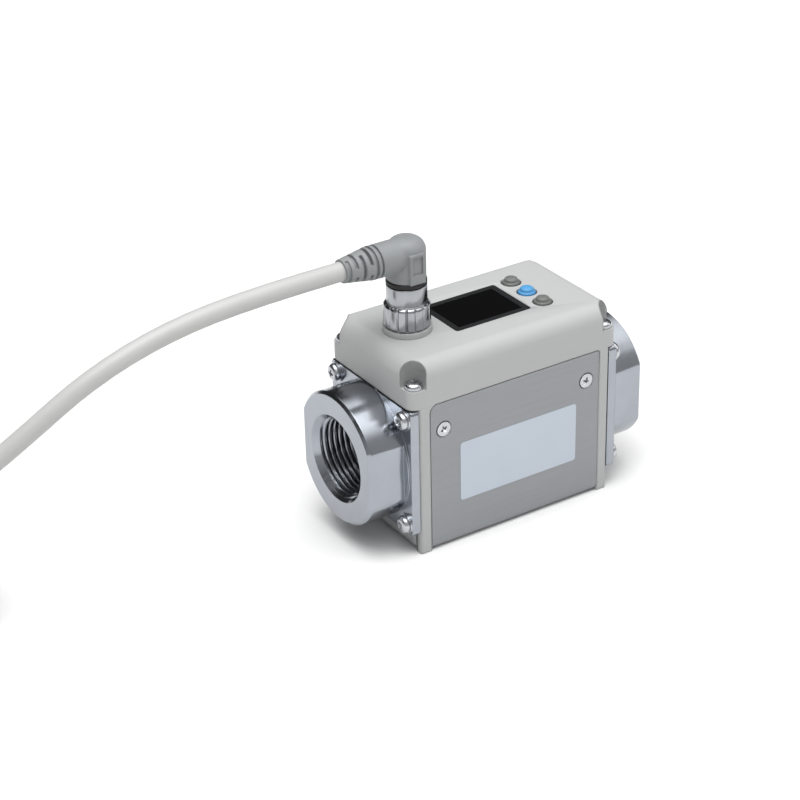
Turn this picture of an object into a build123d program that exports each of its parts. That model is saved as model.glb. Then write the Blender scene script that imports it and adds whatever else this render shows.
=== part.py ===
import os
from math import pi, radians, tan

from build123d import *

os.makedirs("parts", exist_ok=True)

# Frame: X along the flow, front face towards -Y, Z up, origin on the floor under the middle.
# All sizes in millimetres.

# Body
body_length = 77.0
body_depth = 45.0
cap_edge_height = 50.5
cap_height = 14.5
cap_side_wall = 2.4
cap_top_wall = 2.5
cap_corner_radius = 3.0
cap_crown_radius = 5.0

# Sheet that wraps front, bottom and back
sheet_thickness = 1.2
sheet_inset = 7.0
sheet_bend_radius = 2.5
sheet_left_corner_radius = 2.6
sheet_right_corner_radius = 1.0
sheet_gap = 0.25
sheet_screw_inset = 4.8
sheet_screw_drop = 9.2

# Pipe ports
flange_thickness = 3.0
flange_top_gap = 0.5
flange_foot = 7.0
flange_corner_radius = 1.5
boss_inset = 1.0
boss_length = 13.0
boss_flat_inset = 3.3
boss_step = 0.7
boss_rim = 0.9
thread_bore_radius = 12.06
thread_depth = 13.2
mouth_radius = 13.9
flow_radius = 10.0
port_screw_inset = 3.5

# Screws
screw_radius = 1.5
screw_head_radius = 2.85
screw_head_height = 2.0
screw_hole_gap = 0.05
port_screw_length = 9.0
cover_screw_length = 6.0
sheet_screw_length = 7.0
washer_radius = 3.3
washer_thickness = 0.5
recess_width = 0.7
recess_span = 3.0
recess_depth = 0.9

# Corner pockets of the cap
pocket_inset = 3.3
pocket_radius = 4.0
pocket_wall = 1.5
pocket_floor_rise = 6.0
pocket_dome_rise = 3.7
pocket_floor_thickness = 2.0
post_radius = 2.2
ear_reach = 3.5

# Display, keys and label
window_to_plug = 11.2
window_to_keys = 5.5
window_inset_y = 12.3
window_thickness = 1.4
window_border = 2.4
key_inset = 18.6
key_pitch = 8.4
key_radius = 3.0
key_dome_radius = 2.1
key_step = 0.6
key_height = 1.8
key_travel = 0.5
key_collar_radius = 3.6
key_collar_thickness = 0.8
label_inset_left = 10.6
label_inset_right = 8.7
label_height = 20.2
label_drop = 15.9
label_thickness = 0.1

# Sensor
tube_wall = 3.0
chamber_end_wall = 13.4
floor_wall = 2.7
deck_wall = 2.5
yoke_thickness = 1.5
yoke_length = 24.0
coil_radius = 12.0
core_radius = 4.8
electrode_radius = 1.5
electrode_head_radius = 3.0
seal_radius = 0.8

# Boards
board_thickness = 1.6
signal_board_end_gap = 8.5
signal_board_side_gap = 5.5
board_stand_inset = 4.8
signal_board_stand = 3.0
display_board_to_plug = 11.1
display_board_past_keys = 8.6
display_board_side_gap = 4.5
spacer_inset = 3.8
display_board_stand = 3.2
spacer_radius = 2.2

# Socket and plug
plug_inset = 13.9
socket_flange_radius = 7.6
socket_flange_thickness = 1.8
socket_radius = 5.95
socket_bore_radius = 4.5
socket_stub_height = 7.8
socket_tail = 5.0
nut_grip_radius = 7.5
nut_grip_height = 5.3
nut_collar_radius = 6.55
nut_height = 13.7
nut_shoulder_height = 9.7
nut_flutes = 16
flute_radius = 0.8
running_gap = 0.1
plug_neck_radius = 5.2
plug_ring_radius = 6.3
plug_ring_height = 1.7
elbow_radius = 6.15
elbow_crown_radius = 3.2
elbow_rise = 7.9
arm_radius = 5.15
arm_length = 8.4
relief_length = 14.3
relief_end_radius = 3.6
relief_slots = 6

# Cable
cable_radius = 3.0
hank_radius_inner = 9.0
hank_radius_outer = 15.0
hank_layers = 8
hank_straight = 59.0
hank_near_end = -157.0
hank_path_gap = 0.24
hank_entry_inset = 38.0
tie_inset = 42.5
tie_thickness = 1.0
tie_width = 5.0
lead_core_radius = 0.65
lead_core_length = 30.0

# Places worked out from the sizes above
body_height = cap_edge_height + cap_height
pocket_floor_height = cap_edge_height + pocket_floor_rise
pocket_dome_height = pocket_floor_height + pocket_dome_rise
axis_height = (cap_edge_height - flange_top_gap + flange_foot) / 2
plug_x = plug_inset - body_length / 2
key_x = body_length / 2 - key_inset
window_left = plug_x + window_to_plug
window_right = key_x - window_to_keys
window_length = window_right - window_left
window_width = body_depth - 2 * window_inset_y
window_x = (window_left + window_right) / 2
sheet_width = body_length - 2 * sheet_inset
sheet_screw_spacing = sheet_width - 2 * sheet_screw_inset
label_length = sheet_width - label_inset_left - label_inset_right
label_x = (label_inset_left - label_inset_right) / 2
flange_height = cap_edge_height - flange_top_gap - flange_foot
boss_radius = body_depth / 2 - boss_inset
boss_flats = body_depth - 2 * boss_flat_inset
port_screw_spacing_y = body_depth - 2 * port_screw_inset
port_screw_spacing_z = flange_height - 2 * port_screw_inset
signal_board_length = body_length - 2 * signal_board_end_gap
signal_board_width = body_depth - 2 * signal_board_side_gap
display_board_left = plug_x + display_board_to_plug
display_board_right = key_x + display_board_past_keys
display_board_length = display_board_right - display_board_left
display_board_x = (display_board_left + display_board_right) / 2
display_board_width = body_depth - 2 * display_board_side_gap
seat_x = body_length / 2 - flange_thickness
port_end_x = body_length / 2 + boss_length
skin_y = body_depth / 2 - sheet_thickness
fit_gap = 0.1
block_x = seat_x - fit_gap
block_y = skin_y - fit_gap
block_bottom = sheet_thickness + fit_gap
deck_top = cap_edge_height - fit_gap
tube_radius = flow_radius + tube_wall
pocket_x = body_length / 2 - pocket_inset
pocket_y = body_depth / 2 - pocket_inset
cap_ceiling = body_height - cap_top_wall
sheet_top = cap_edge_height - fit_gap
sheet_screw_height = sheet_top - sheet_screw_drop
label_z = sheet_top - label_drop - label_height / 2

chamber_length = 2 * (block_x - chamber_end_wall)
corners = [(x, y) for x in (-pocket_x, pocket_x) for y in (-pocket_y, pocket_y)]
sheet_screw_points = [(x, sheet_screw_height) for x in (-sheet_screw_spacing / 2, sheet_screw_spacing / 2)]
key_places = [("button_up", key_pitch), ("button_set", 0.0), ("button_down", -key_pitch)]
front_plane = Plane(origin=(0, -body_depth / 2, 0), x_dir=(1, 0, 0), z_dir=(0, -1, 0))
back_plane = Plane(origin=(0, body_depth / 2, 0), x_dir=(-1, 0, 0), z_dir=(0, 1, 0))
port_screw_points = [
    (y, axis_height + z)
    for y in (-port_screw_spacing_y / 2, port_screw_spacing_y / 2)
    for z in (-port_screw_spacing_z / 2, port_screw_spacing_z / 2)
]


def write(piece, name):
    piece.part.label = name
    export_step(piece.part, f"parts/{name}.step")


def end_plane(side, x):
    """Plane across the flow at a distance x from the middle, facing out at that side."""
    return Plane(origin=(side * x, 0, 0), x_dir=(0, side, 0), z_dir=(side, 0, 0))


def cross_recess(depth):
    """Cross-shaped driver recess, cut down from the current locations."""
    for turn in (0, 90):
        Box(recess_span, recess_width, depth, rotation=(0, 0, turn),
            align=(Align.CENTER, Align.CENTER, Align.MAX), mode=Mode.SUBTRACT)


# Housing: one moulding, a hollow cap with four legs that run down beside the sheet
with BuildPart() as housing:
    with BuildSketch(Plane.XY.offset(cap_edge_height)):
        RectangleRounded(body_length, body_depth, cap_corner_radius)
    extrude(amount=body_height - cap_edge_height)
    for plane, width, reach in (
        (Plane.YZ, body_depth, body_length),
        (Plane.XZ, body_length, body_depth),
    ):
        with BuildSketch(plane):
            with Locations((0, (cap_edge_height + body_height) / 2)):
                Rectangle(width, body_height - cap_edge_height)
            fillet(vertices().group_by(Axis.Y)[-1], cap_crown_radius)
        extrude(amount=reach, both=True, mode=Mode.INTERSECT)
    with BuildSketch():
        RectangleRounded(2 * seat_x, body_depth, cap_corner_radius)
    extrude(amount=cap_edge_height)
    # Hollow for the sensor block, open at both ends and below
    with BuildSketch():
        Rectangle(body_length, 2 * skin_y)
    extrude(amount=cap_edge_height, mode=Mode.SUBTRACT)
    # Opening that the sheet fills
    with BuildSketch(Plane.XZ):
        with Locations((0, (sheet_top + sheet_gap) / 2)):
            Rectangle(sheet_width + 2 * sheet_gap, sheet_top + sheet_gap)
        top_corners = vertices().group_by(Axis.Y)[-1].sort_by(Axis.X)
        fillet(top_corners[0], sheet_left_corner_radius + sheet_gap)
        fillet(vertices().group_by(Axis.Y)[-1].sort_by(Axis.X)[-1], sheet_right_corner_radius + sheet_gap)
    extrude(amount=body_depth, both=True, mode=Mode.SUBTRACT)
    # Room inside the cap: below the pocket floors, then between the pocket columns
    with BuildSketch(Plane.XY.offset(cap_edge_height)):
        Rectangle(body_length - 2 * cap_side_wall, body_depth - 2 * cap_side_wall)
        with Locations(*corners):
            Circle(post_radius + 2 * fit_gap)
    extrude(amount=pocket_floor_height - pocket_floor_thickness - cap_edge_height, mode=Mode.SUBTRACT)
    with BuildSketch(Plane.XY.offset(pocket_floor_height - pocket_floor_thickness)):
        Rectangle(body_length - 2 * cap_side_wall, body_depth - 2 * cap_side_wall)
        with Locations(*corners):
            Circle(pocket_radius + pocket_wall, mode=Mode.SUBTRACT)
    extrude(amount=cap_ceiling - pocket_floor_height + pocket_floor_thickness, mode=Mode.SUBTRACT)
    # Scooped pockets for the cover screws
    with Locations(*[(x, y, pocket_floor_height) for x, y in corners]):
        Cylinder(pocket_radius, pocket_dome_height - pocket_floor_height,
                 align=(Align.CENTER, Align.CENTER, Align.MIN), mode=Mode.SUBTRACT)
    with Locations(*[(x, y, pocket_dome_height) for x, y in corners]):
        Sphere(pocket_radius, mode=Mode.SUBTRACT)
    with Locations(*[(x, y, pocket_floor_height) for x, y in corners]):
        Hole(screw_radius + 2 * fit_gap, depth=pocket_floor_thickness)
    # Top face: window rebate and opening, key holes, socket hole
    with BuildSketch(Plane.XY.offset(body_height)):
        with Locations((window_x, 0)):
            RectangleRounded(window_length + fit_gap, window_width + fit_gap, 1)
    extrude(amount=-window_thickness, mode=Mode.SUBTRACT)
    with BuildSketch(Plane.XY.offset(body_height)):
        with Locations((window_x, 0)):
            Rectangle(window_length - 2 * window_border, window_width - 2 * window_border)
        with Locations(*[(key_x, y) for name, y in key_places]):
            Circle(key_radius + sheet_gap)
        with Locations((plug_x, 0)):
            Circle(socket_radius + fit_gap)
    extrude(amount=-cap_top_wall, mode=Mode.SUBTRACT)
write(housing, "housing")

# Sensor block: moulded frame that carries the tube, the magnet, the boards and every screw
with BuildPart() as sensor_block:
    with BuildSketch(Plane.XY.offset(block_bottom)):
        RectangleRounded(2 * block_x, body_depth - 2 * fit_gap, cap_corner_radius - fit_gap)
        Rectangle(2 * block_x, 2 * block_y, mode=Mode.INTERSECT)
    extrude(amount=deck_top - block_bottom)
    fillet(edges().filter_by(Axis.X).group_by(Axis.Z)[0], sheet_bend_radius - sheet_thickness)
    with BuildSketch(Plane.XZ):
        with Locations((0, (block_bottom + floor_wall + deck_top - deck_wall) / 2)):
            Rectangle(chamber_length, deck_top - deck_wall - block_bottom - floor_wall)
    extrude(amount=body_depth, both=True, mode=Mode.SUBTRACT)
    with BuildSketch(Plane.YZ):
        with Locations((0, axis_height)):
            Circle(tube_radius + screw_hole_gap)
    extrude(amount=body_length, both=True, mode=Mode.SUBTRACT)
    # Ears and posts for the cover screws, stands for the board
    for x, y in corners:
        inward = (x - ear_reach * (1 if x > 0 else -1), y - ear_reach * (1 if y > 0 else -1))
        with BuildSketch(Plane.XY.offset(deck_top)):
            with Locations((x, y), inward):
                Circle(post_radius)
            make_hull()
        extrude(amount=post_radius)
    with BuildSketch(Plane.XY.offset(deck_top)):
        with GridLocations(signal_board_length - 2 * board_stand_inset,
                           signal_board_width - 2 * board_stand_inset, 2, 2):
            Circle(spacer_radius)
    extrude(amount=signal_board_stand)
    with BuildSketch(Plane.XY.offset(deck_top)):
        with Locations(*corners):
            Circle(post_radius)
    extrude(amount=pocket_floor_height - pocket_floor_thickness - fit_gap - deck_top)
    with Locations(*[(x, y, pocket_floor_height - pocket_floor_thickness - fit_gap) for x, y in corners]):
        Hole(screw_radius + screw_hole_gap, depth=cover_screw_length - pocket_floor_thickness)
    for side in (-1, 1):
        with Locations(end_plane(side, block_x)):
            with Locations(*port_screw_points):
                Hole(screw_radius + screw_hole_gap, depth=port_screw_length - flange_thickness)
    for plane in (front_plane, back_plane):
        with Locations(plane.offset(block_y - body_depth / 2)):
            with Locations(*sheet_screw_points):
                Hole(screw_radius + screw_hole_gap, depth=sheet_screw_length)
write(sensor_block, "sensor_block")

# Shield sheet: one strip of sheet metal bent into a U
sheet_mid = (body_depth - sheet_thickness) / 2
with BuildPart() as shield_sheet:
    with BuildSketch(Plane.YZ):
        with BuildLine():
            FilletPolyline(
                (-sheet_mid, sheet_top),
                (-sheet_mid, sheet_thickness / 2),
                (sheet_mid, sheet_thickness / 2),
                (sheet_mid, sheet_top),
                radius=sheet_bend_radius - sheet_thickness / 2,
            )
        trace(line_width=sheet_thickness)
    extrude(amount=sheet_width / 2, both=True)
    upper = edges().filter_by(Axis.Y).group_by(Axis.Z)[-1].group_by(Axis.X)
    fillet(upper[0], sheet_left_corner_radius)
    upper = edges().filter_by(Axis.Y).group_by(Axis.Z)[-1].group_by(Axis.X)
    fillet(upper[-1], sheet_right_corner_radius)
    for plane in (front_plane, back_plane):
        with Locations(plane):
            with Locations(*sheet_screw_points):
                CounterSinkHole(screw_radius + 2 * fit_gap, screw_head_radius, depth=sheet_thickness,
                                counter_sink_angle=90)
write(shield_sheet, "shield_sheet")

# Countersunk screws of the sheet, two at the front and two at the back
flat_head_height = screw_head_radius - screw_radius - 2 * fit_gap
with BuildPart() as shield_screws:
    for plane in (front_plane, back_plane):
        with Locations(plane):
            with Locations(*sheet_screw_points):
                Cylinder(screw_radius, sheet_screw_length, align=(Align.CENTER, Align.CENTER, Align.MAX))
                Cone(screw_radius, screw_head_radius - fit_gap, flat_head_height,
                     align=(Align.CENTER, Align.CENTER, Align.MAX))
                cross_recess(recess_depth)
write(shield_screws, "shield_screws")

# Nameplate: thin plate stuck to the front of the sheet
with BuildPart() as nameplate:
    with BuildSketch(front_plane):
        with Locations((label_x, label_z)):
            RectangleRounded(label_length, label_height, 1)
    extrude(amount=label_thickness)
write(nameplate, "nameplate")


# Ports: square flange and round threaded boss turned and milled from one forging
def make_port(side):
    with BuildPart() as port:
        with BuildSketch(end_plane(side, seat_x)):
            with Locations((0, axis_height)):
                RectangleRounded(body_depth, flange_height, flange_corner_radius)
        extrude(amount=flange_thickness)
        with BuildSketch(end_plane(side, seat_x + flange_thickness)):
            with Locations((0, axis_height)):
                Circle(boss_radius)
                Rectangle(boss_flats, 2 * boss_radius, mode=Mode.INTERSECT)
        extrude(amount=boss_length)
        chamfer(faces().sort_by(Axis.X)[-1 if side > 0 else 0].edges(), boss_rim)
        with BuildSketch(end_plane(side, seat_x + flange_thickness)):
            with Locations((0, axis_height)):
                Circle(boss_radius)
        extrude(amount=boss_step)
        with Locations(end_plane(side, port_end_x)):
            with Locations((0, axis_height)):
                Hole(flow_radius, depth=flange_thickness + boss_length)
                CounterSinkHole(thread_bore_radius, mouth_radius, depth=thread_depth, counter_sink_angle=90)
        # Groove for the seal against the tube's end
        with BuildSketch(end_plane(side, seat_x)):
            with Locations((0, axis_height)):
                Circle(flow_radius + tube_wall / 2 + seal_radius + fit_gap)
                Circle(flow_radius + tube_wall / 2 - seal_radius - fit_gap, mode=Mode.SUBTRACT)
        extrude(amount=2 * seal_radius - fit_gap / 2, mode=Mode.SUBTRACT)
        with Locations(end_plane(side, seat_x + flange_thickness)):
            with Locations(*port_screw_points):
                Hole(screw_radius + 2 * fit_gap, depth=flange_thickness)
    return port


def make_port_screws(side):
    with BuildPart() as screws:
        with Locations(end_plane(side, seat_x + flange_thickness + washer_thickness)):
            with Locations(*port_screw_points):
                Cylinder(screw_radius, port_screw_length, align=(Align.CENTER, Align.CENTER, Align.MAX))
                Cylinder(screw_head_radius, screw_head_height, align=(Align.CENTER, Align.CENTER, Align.MIN))
        outer = faces().group_by(Axis.X)[-1 if side > 0 else 0]
        fillet(outer.edges(), screw_head_height / 3)
        with Locations(end_plane(side, seat_x + flange_thickness + washer_thickness + screw_head_height)):
            with Locations(*port_screw_points):
                cross_recess(recess_depth)
    return screws


def make_port_washers(side):
    with BuildPart() as washers:
        with BuildSketch(end_plane(side, seat_x + flange_thickness)):
            with Locations(*port_screw_points):
                Circle(washer_radius)
                Circle(screw_radius + fit_gap, mode=Mode.SUBTRACT)
        extrude(amount=washer_thickness)
    return washers


for word, side in (("left", -1), ("right", 1)):
    write(make_port(side), f"port_{word}")
    write(make_port_screws(side), f"port_screws_{word}")
    write(make_port_washers(side), f"port_washers_{word}")

# Rubber rings that seal the ports against the ends of the tube
with BuildPart() as port_seals:
    for side in (-1, 1):
        with Locations(end_plane(side, block_x + screw_hole_gap + seal_radius)):
            with Locations((0, axis_height)):
                Torus(flow_radius + tube_wall / 2, seal_radius)
write(port_seals, "port_seals")

# Cover screws in the corner pockets
with BuildPart() as cover_screws:
    with Locations(*[(x, y, pocket_floor_height) for x, y in corners]):
        Cylinder(screw_radius, cover_screw_length, align=(Align.CENTER, Align.CENTER, Align.MAX))
        Cylinder(screw_head_radius, screw_head_height, align=(Align.CENTER, Align.CENTER, Align.MIN))
    fillet(faces().group_by(Axis.Z)[-1].edges(), screw_head_height / 3)
    with Locations(*[(x, y, pocket_floor_height + screw_head_height) for x, y in corners]):
        cross_recess(recess_depth)
write(cover_screws, "cover_screws")

# Measuring tube: moulded liner with a hole each side for the electrodes
with BuildPart() as measuring_tube:
    with BuildSketch(Plane.YZ):
        with Locations((0, axis_height)):
            Circle(tube_radius)
            Circle(flow_radius, mode=Mode.SUBTRACT)
    extrude(amount=block_x, both=True)
    with BuildSketch(Plane.XZ):
        with Locations((0, axis_height)):
            Circle(electrode_radius + screw_hole_gap)
    extrude(amount=body_depth, both=True, mode=Mode.SUBTRACT)
write(measuring_tube, "measuring_tube")

# Electrodes: headed pins whose tips lie flush with the bore
seal_thickness = 1.0
electrode_head_thickness = 1.2
with BuildPart() as electrodes:
    for side in (-1, 1):
        tip = Plane(origin=(0, side * flow_radius, axis_height), x_dir=(1, 0, 0), z_dir=(0, side, 0))
        with Locations(tip):
            Cylinder(electrode_radius, tube_wall + seal_thickness + electrode_head_thickness + 0.5,
                     align=(Align.CENTER, Align.CENTER, Align.MIN))
        with Locations(tip.offset(tube_wall + seal_thickness)):
            Cylinder(electrode_head_radius, electrode_head_thickness,
                     align=(Align.CENTER, Align.CENTER, Align.MIN))
write(electrodes, "electrodes")

with BuildPart() as electrode_seals:
    for side in (-1, 1):
        middle = side * (tube_radius + seal_thickness / 2)
        ring_plane = Plane(origin=(0, middle, axis_height), x_dir=(1, 0, 0), z_dir=(0, side, 0))
        with Locations(ring_plane):
            Torus(electrode_radius + seal_thickness / 2 + fit_gap, seal_thickness / 2 - screw_hole_gap)
write(electrode_seals, "electrode_seals")

# Magnet: a closed yoke around the tube, with a core and a winding above and below the bore
yoke_half_height = deck_top - deck_wall - axis_height
yoke_half_width = block_y - yoke_thickness
with BuildPart() as magnet_yoke:
    with BuildSketch(Plane.YZ):
        with Locations((0, axis_height)):
            RectangleRounded(2 * yoke_half_width, 2 * yoke_half_height, 2 * yoke_thickness)
            RectangleRounded(2 * (yoke_half_width - yoke_thickness), 2 * (yoke_half_height - yoke_thickness),
                             yoke_thickness, mode=Mode.SUBTRACT)
    extrude(amount=yoke_length / 2, both=True)
write(magnet_yoke, "magnet_yoke")

coil_room = yoke_half_height - yoke_thickness - tube_radius - 2 * fit_gap
with BuildPart() as pole_cores:
    for side in (-1, 1):
        with BuildSketch(Plane.XY.offset(axis_height + side * (tube_radius + fit_gap))):
            Circle(core_radius)
        extrude(amount=side * (coil_room + fit_gap))
write(pole_cores, "pole_cores")

with BuildPart() as field_coils:
    for side in (-1, 1):
        with BuildSketch(Plane.XY.offset(axis_height + side * (tube_radius + 2 * fit_gap))):
            Circle(coil_radius)
            Circle(core_radius + fit_gap, mode=Mode.SUBTRACT)
        extrude(amount=side * (coil_room - fit_gap))
write(field_coils, "field_coils")

# Signal board on the block's stands, with its larger components
signal_board_z = deck_top + signal_board_stand
signal_board_top = signal_board_z + board_thickness
chip_size = 9.0
chip_spacing = 13.0
with BuildPart() as signal_board:
    with BuildSketch(Plane.XY.offset(signal_board_z)):
        RectangleRounded(signal_board_length, signal_board_width, 1.5)
    extrude(amount=board_thickness)
    chip_places = [(window_x + shift, 0, signal_board_top) for shift in (-chip_spacing / 2, chip_spacing / 2)]
    with Locations(*chip_places):
        Box(chip_size, chip_size, 1.2, align=(Align.CENTER, Align.CENTER, Align.MIN))
    with Locations((key_x, 0, signal_board_top)):
        Cylinder(chip_size / 4, 2.4, align=(Align.CENTER, Align.CENTER, Align.MIN))
write(signal_board, "signal_board")

# Display board on spacers above it
display_board_z = signal_board_top + display_board_stand
display_board_top = display_board_z + board_thickness
with BuildPart() as board_spacers:
    with BuildSketch(Plane.XY.offset(signal_board_top)):
        with Locations((display_board_x, 0)):
            with GridLocations(display_board_length - 2 * spacer_inset,
                               display_board_width - 2 * spacer_inset, 2, 2):
                Circle(spacer_radius)
    extrude(amount=display_board_stand)
write(board_spacers, "board_spacers")

with BuildPart() as display_board:
    with BuildSketch(Plane.XY.offset(display_board_z)):
        with Locations((display_board_x, 0)):
            RectangleRounded(display_board_length, display_board_width, 1.5)
    extrude(amount=board_thickness)
write(display_board, "display_board")

with BuildPart() as lcd_module:
    with BuildSketch(Plane.XY.offset(display_board_top)):
        with Locations((window_x, 0)):
            RectangleRounded(window_length - 1.5, window_width - 1.5, 0.5)
    extrude(amount=cap_ceiling - display_board_top - 2 * fit_gap)
write(lcd_module, "lcd_module")

with BuildPart() as display_window:
    with BuildSketch(Plane.XY.offset(body_height)):
        with Locations((window_x, 0)):
            RectangleRounded(window_length, window_width, 1)
    extrude(amount=-window_thickness)
write(display_window, "display_window")

# Push switches under the keys; each plunger stops short of the pressed key
key_foot = cap_ceiling - sheet_gap - key_collar_thickness
plunger_top = key_foot - key_travel - fit_gap
with BuildPart() as tact_switches:
    with BuildSketch(Plane.XY.offset(display_board_top)):
        with Locations(*[(key_x, y) for name, y in key_places]):
            Rectangle(4.5, 4.5)
    extrude(amount=(plunger_top - display_board_top) / 2)
    with BuildSketch(Plane.XY.offset(display_board_top)):
        with Locations(*[(key_x, y) for name, y in key_places]):
            Circle(1)
    extrude(amount=plunger_top - display_board_top)
write(tact_switches, "tact_switches")


# Keys: collar under the cap, stem through it, a low step and a domed top
def make_key(y):
    top = body_height + key_height
    step = body_height + key_step
    with BuildPart() as key:
        with Locations((key_x, y, key_foot)):
            Cylinder(key_collar_radius, key_collar_thickness, align=(Align.CENTER, Align.CENTER, Align.MIN))
            Cylinder(key_radius, step - key_foot, align=(Align.CENTER, Align.CENTER, Align.MIN))
        fillet(faces().sort_by(Axis.Z)[-1].edges(), 0.2)
        with Locations((key_x, y, step)):
            Cylinder(key_dome_radius, top - step, align=(Align.CENTER, Align.CENTER, Align.MIN))
        fillet(faces().sort_by(Axis.Z)[-1].edges(), (top - step) / 2)
    return key


for name, y in key_places:
    write(make_key(y), name)

# Round socket on the cap: threaded shell, nut inside, insert and contact pins
socket_top = body_height + socket_flange_thickness + socket_stub_height
socket_seat = body_height + socket_flange_thickness
socket_foot = cap_ceiling - socket_tail
with BuildPart() as connector_socket:
    with BuildSketch(Plane.XY.offset(socket_foot)):
        with Locations((plug_x, 0)):
            Circle(socket_radius)
    extrude(amount=socket_top - socket_foot)
    chamfer(faces().sort_by(Axis.Z)[-1].edges(), 0.5)
    with BuildSketch(Plane.XY.offset(body_height)):
        with Locations((plug_x, 0)):
            Circle(socket_flange_radius)
    extrude(amount=socket_flange_thickness)
    with Locations((plug_x, 0, socket_top)):
        Hole(socket_bore_radius, depth=socket_top - socket_foot)
write(connector_socket, "connector_socket")

with BuildPart() as socket_nut:
    with BuildSketch(Plane.XY.offset(cap_ceiling)):
        with Locations((plug_x, 0)):
            RegularPolygon(socket_radius + 2.5, 6, major_radius=False)
            Circle(socket_radius + screw_hole_gap, mode=Mode.SUBTRACT)
    extrude(amount=-cap_top_wall)
write(socket_nut, "socket_nut")

pin_circle_radius = 2.6
pin_radius = 0.5
pin_top = socket_top - 2
insert_top = socket_seat + 0.7
with BuildPart() as socket_insert:
    with BuildSketch(Plane.XY.offset(socket_foot)):
        with Locations((plug_x, 0)):
            Circle(socket_bore_radius - screw_hole_gap)
            with PolarLocations(pin_circle_radius, 4, start_angle=45):
                Circle(pin_radius + screw_hole_gap, mode=Mode.SUBTRACT)
    extrude(amount=insert_top - socket_foot)
write(socket_insert, "socket_insert")

with BuildPart() as socket_pins:
    with BuildSketch(Plane.XY.offset(signal_board_top)):
        with Locations((plug_x, 0)):
            with PolarLocations(pin_circle_radius, 4, start_angle=45):
                Circle(pin_radius)
    extrude(amount=pin_top - signal_board_top)
write(socket_pins, "socket_pins")

# Coupling nut of the plug: fluted grip below, smooth collar above, an inner shoulder traps it
nut_foot = socket_seat + fit_gap
nut_top = nut_foot + nut_height
nut_shoulder = nut_foot + nut_shoulder_height
with BuildPart() as coupling_nut:
    with BuildSketch(Plane.XY.offset(nut_foot)):
        with Locations((plug_x, 0)):
            Circle(nut_grip_radius)
    extrude(amount=nut_grip_height)
    chamfer(edges().filter_by(GeomType.CIRCLE), 0.4)
    with BuildSketch(Plane.XY.offset(nut_foot)):
        with Locations((plug_x, 0)):
            with PolarLocations(nut_grip_radius + flute_radius / 4, nut_flutes):
                Circle(flute_radius)
    extrude(amount=nut_grip_height, mode=Mode.SUBTRACT)
    with BuildSketch(Plane.XY.offset(nut_foot)):
        with Locations((plug_x, 0)):
            Circle(nut_collar_radius)
    extrude(amount=nut_height)
    chamfer(faces().sort_by(Axis.Z)[-1].edges(), 0.3)
    with Locations((plug_x, 0, nut_top)):
        Hole(plug_neck_radius + running_gap, depth=nut_height)
    with Locations((plug_x, 0, nut_shoulder)):
        Hole(socket_radius + running_gap, depth=nut_shoulder_height)
write(coupling_nut, "coupling_nut")

# Plug insert: contact carrier that reaches down into the socket, with a collar under the shoulder
plug_foot = insert_top + 0.5
collar_top = nut_shoulder - 2 * fit_gap
with BuildPart() as plug_insert:
    with BuildSketch(Plane.XY.offset(plug_foot)):
        with Locations((plug_x, 0)):
            Circle(socket_bore_radius - 3 * fit_gap)
    extrude(amount=collar_top - plug_foot)
    with BuildSketch(Plane.XY.offset(socket_top + 3 * fit_gap)):
        with Locations((plug_x, 0)):
            Circle(socket_radius - fit_gap)
    extrude(amount=collar_top - socket_top - 3 * fit_gap)
    with Locations((plug_x, 0, plug_foot)):
        with PolarLocations(pin_circle_radius, 4, start_angle=45):
            Cylinder(pin_radius + fit_gap, pin_top - plug_foot + 0.5,
                     align=(Align.CENTER, Align.CENTER, Align.MIN), mode=Mode.SUBTRACT)
write(plug_insert, "plug_insert")

# Black rubber ring between the nut and the elbow
elbow_foot = nut_top + plug_ring_height + 2 * fit_gap
arm_height = elbow_foot + elbow_rise
with BuildPart() as plug_ring:
    with BuildSketch(Plane.XY.offset(nut_top + fit_gap)):
        with Locations((plug_x, 0)):
            Circle(plug_ring_radius)
            Circle(plug_neck_radius + screw_hole_gap, mode=Mode.SUBTRACT)
    extrude(amount=plug_ring_height)
    chamfer(edges().filter_by(GeomType.CIRCLE).group_by(SortBy.RADIUS)[-1], 0.35)
write(plug_ring, "plug_ring")

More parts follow.
